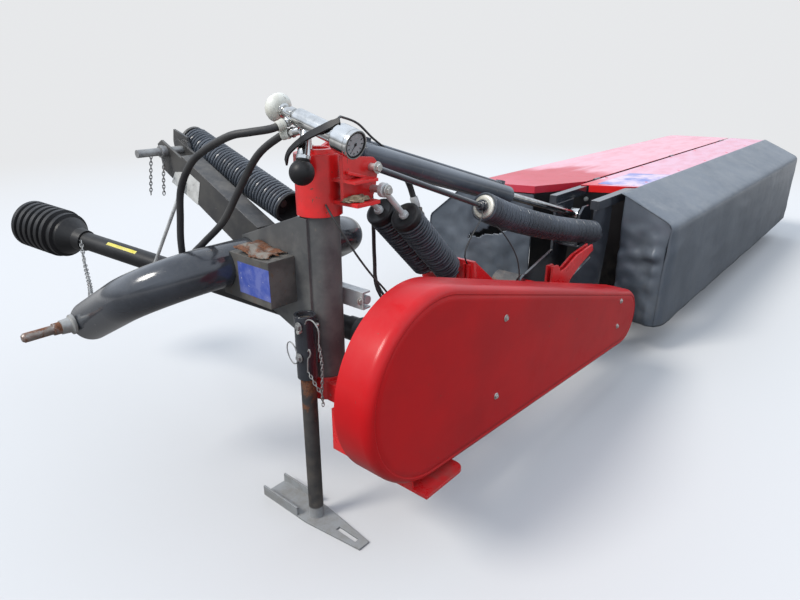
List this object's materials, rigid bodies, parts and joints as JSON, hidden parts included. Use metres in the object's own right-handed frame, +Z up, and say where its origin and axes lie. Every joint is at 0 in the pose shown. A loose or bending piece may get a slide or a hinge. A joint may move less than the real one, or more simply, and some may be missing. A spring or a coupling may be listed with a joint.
{
  "type": "disc mower",
  "caption": "Side-hung disc mower with a belt drive, for a tractor's rear hitch: yoke, pivot post, swing head, boom, cutter bar under a guard with curtains, lift cylinder and stand.",
  "frame": {"origin": "middle of the parked machine's box, on the ground", "axes": "+X to the right along the cutter bar, away from the post; +Y forward to the tractor; +Z up"},
  "size_m": [5.3306, 2.111, 1.2489],
  "materials": {
    "dark_paint": "satin",
    "grey_paint": "weathered satin",
    "red_paint": "gloss",
    "deck_red": "sun-bleached gloss",
    "pin_steel": "rusty",
    "galvanised": "dull",
    "spring_paint": "satin",
    "black_plastic": "matte",
    "chrome": "polished",
    "curtain": "coated cloth",
    "rubber": "matte, dusty",
    "bare_steel": "worn, dirty",
    "cast": "dirty"
  },
  "bodies": {
    "headstock": {"hitch_yoke": "dark_paint", "left_lower_pin": "pin_steel", "right_lower_pin": "pin_steel", "pivot_post": "grey_paint", "post_box": "grey_paint", "top_link_mast": "dark_paint", "top_link_pin": "galvanised", "mast_spring": "spring_paint", "pto_rest": "galvanised", "pto_guard": "black_plastic", "pto_cone": "black_plastic", "stand_sleeve": "dark_paint", "strut": "galvanised"},
    "swing_frame": {"swing_shaft": "red_paint", "swing_head": "red_paint", "swing_bracket": "red_paint", "boom_arm": "red_paint", "belt_plate": "red_paint", "belt_cover": "red_paint", "input_housing": "cast", "short_springs": "spring_paint", "long_spring": "spring_paint", "accumulator": "chrome", "gauge": "chrome", "lever": "black_plastic", "hose_a": "rubber", "hose_b": "rubber", "hose_c": "rubber"},
    "mower": {"drive_gearbox": "cast", "inner_frame": "dark_paint", "cutter_bar": "bare_steel", "guard_frame": "dark_paint", "rear_panel": "deck_red", "rear_curtain": "curtain", "end_curtain": "curtain"},
    "front_guard": {"front_rail": "dark_paint", "front_panel": "deck_red", "front_curtain": "curtain"},
    "cylinder": {"lift_barrel": "dark_paint"},
    "cylinder_rod": {"lift_rod": "chrome"},
    "stand": {"stand_leg": "bare_steel"},
    "drive_shaft": {"pto_shaft": "pin_steel", "drive_hub": "pin_steel"},
    "disc_1": {"disc_1": "bare_steel"},
    "disc_2": {"disc_2": "bare_steel"},
    "disc_3": {"disc_3": "bare_steel"},
    "disc_4": {"disc_4": "bare_steel"},
    "disc_5": {"disc_5": "bare_steel"},
    "disc_6": {"disc_6": "bare_steel"},
    "disc_7": {"disc_7": "bare_steel"}
  },
  "joints": [
    {"name": "break_back", "type": "hinge", "parent": "headstock", "child": "swing_frame", "pos_m": [-2.07975, -0.60549, 0.7], "axis": [0, 0, -1], "range_deg": [0, 20]},
    {"name": "lift", "type": "hinge", "parent": "swing_frame", "child": "mower", "pos_m": [-0.81975, -0.60549, 0.36], "axis": [0, -1, 0], "range_deg": [-15, 85], "deforming": ["long_spring"]},
    {"name": "cylinder_tilt", "type": "hinge", "parent": "swing_frame", "child": "cylinder", "pos_m": [-1.97975, -0.60549, 1.1003], "axis": [0, -1, 0], "range_deg": [-2, 2]},
    {"name": "rod_slide", "type": "slide", "parent": "cylinder", "child": "cylinder_rod", "axis": [0.9597, 0, -0.2809], "range_m": [-0.64, 0.13]},
    {"name": "front_guard_fold", "type": "hinge", "parent": "mower", "child": "front_guard", "pos_m": [0.92025, -0.51949, 0.762], "axis": [-1, 0, 0], "range_deg": [-90, 0]},
    {"name": "stand_slide", "type": "slide", "parent": "headstock", "child": "stand", "axis": [0, 0, 1], "range_m": [0, 0.25]},
    {"name": "drive_turn", "type": "hinge", "parent": "headstock", "child": "drive_shaft", "pos_m": [-1.84775, -0.63549, 0.494], "axis": [-0.2358, 0.9655, 0.1106], "continuous": true},
    {"name": "disc_1_turn", "type": "hinge", "parent": "mower", "child": "disc_1", "pos_m": [-0.21975, -0.42549, 0.093], "axis": [0, 0, 1], "continuous": true},
    {"name": "disc_2_turn", "type": "hinge", "parent": "mower", "child": "disc_2", "pos_m": [0.20525, -0.42549, 0.093], "axis": [0, 0, 1], "continuous": true},
    {"name": "disc_3_turn", "type": "hinge", "parent": "mower", "child": "disc_3", "pos_m": [0.63025, -0.42549, 0.093], "axis": [0, 0, 1], "continuous": true},
    {"name": "disc_4_turn", "type": "hinge", "parent": "mower", "child": "disc_4", "pos_m": [1.05525, -0.42549, 0.093], "axis": [0, 0, 1], "continuous": true},
    {"name": "disc_5_turn", "type": "hinge", "parent": "mower", "child": "disc_5", "pos_m": [1.48025, -0.42549, 0.093], "axis": [0, 0, 1], "continuous": true},
    {"name": "disc_6_turn", "type": "hinge", "parent": "mower", "child": "disc_6", "pos_m": [1.90525, -0.42549, 0.093], "axis": [0, 0, 1], "continuous": true},
    {"name": "disc_7_turn", "type": "hinge", "parent": "mower", "child": "disc_7", "pos_m": [2.33025, -0.42549, 0.093], "axis": [0, 0, 1], "continuous": true}
  ],
  "couplings": [
    {"joint": "disc_2_turn", "follows": "disc_1_turn", "ratio": -1},
    {"joint": "disc_3_turn", "follows": "disc_1_turn", "ratio": 1},
    {"joint": "disc_4_turn", "follows": "disc_1_turn", "ratio": -1},
    {"joint": "disc_5_turn", "follows": "disc_1_turn", "ratio": 1},
    {"joint": "disc_6_turn", "follows": "disc_1_turn", "ratio": -1},
    {"joint": "disc_7_turn", "follows": "disc_1_turn", "ratio": 1},
    {"joint": "cylinder_tilt", "follows": "lift", "ratio": -0.01},
    {"joint": "rod_slide", "follows": "lift", "m_per_rad": -0.4206}
  ]
}
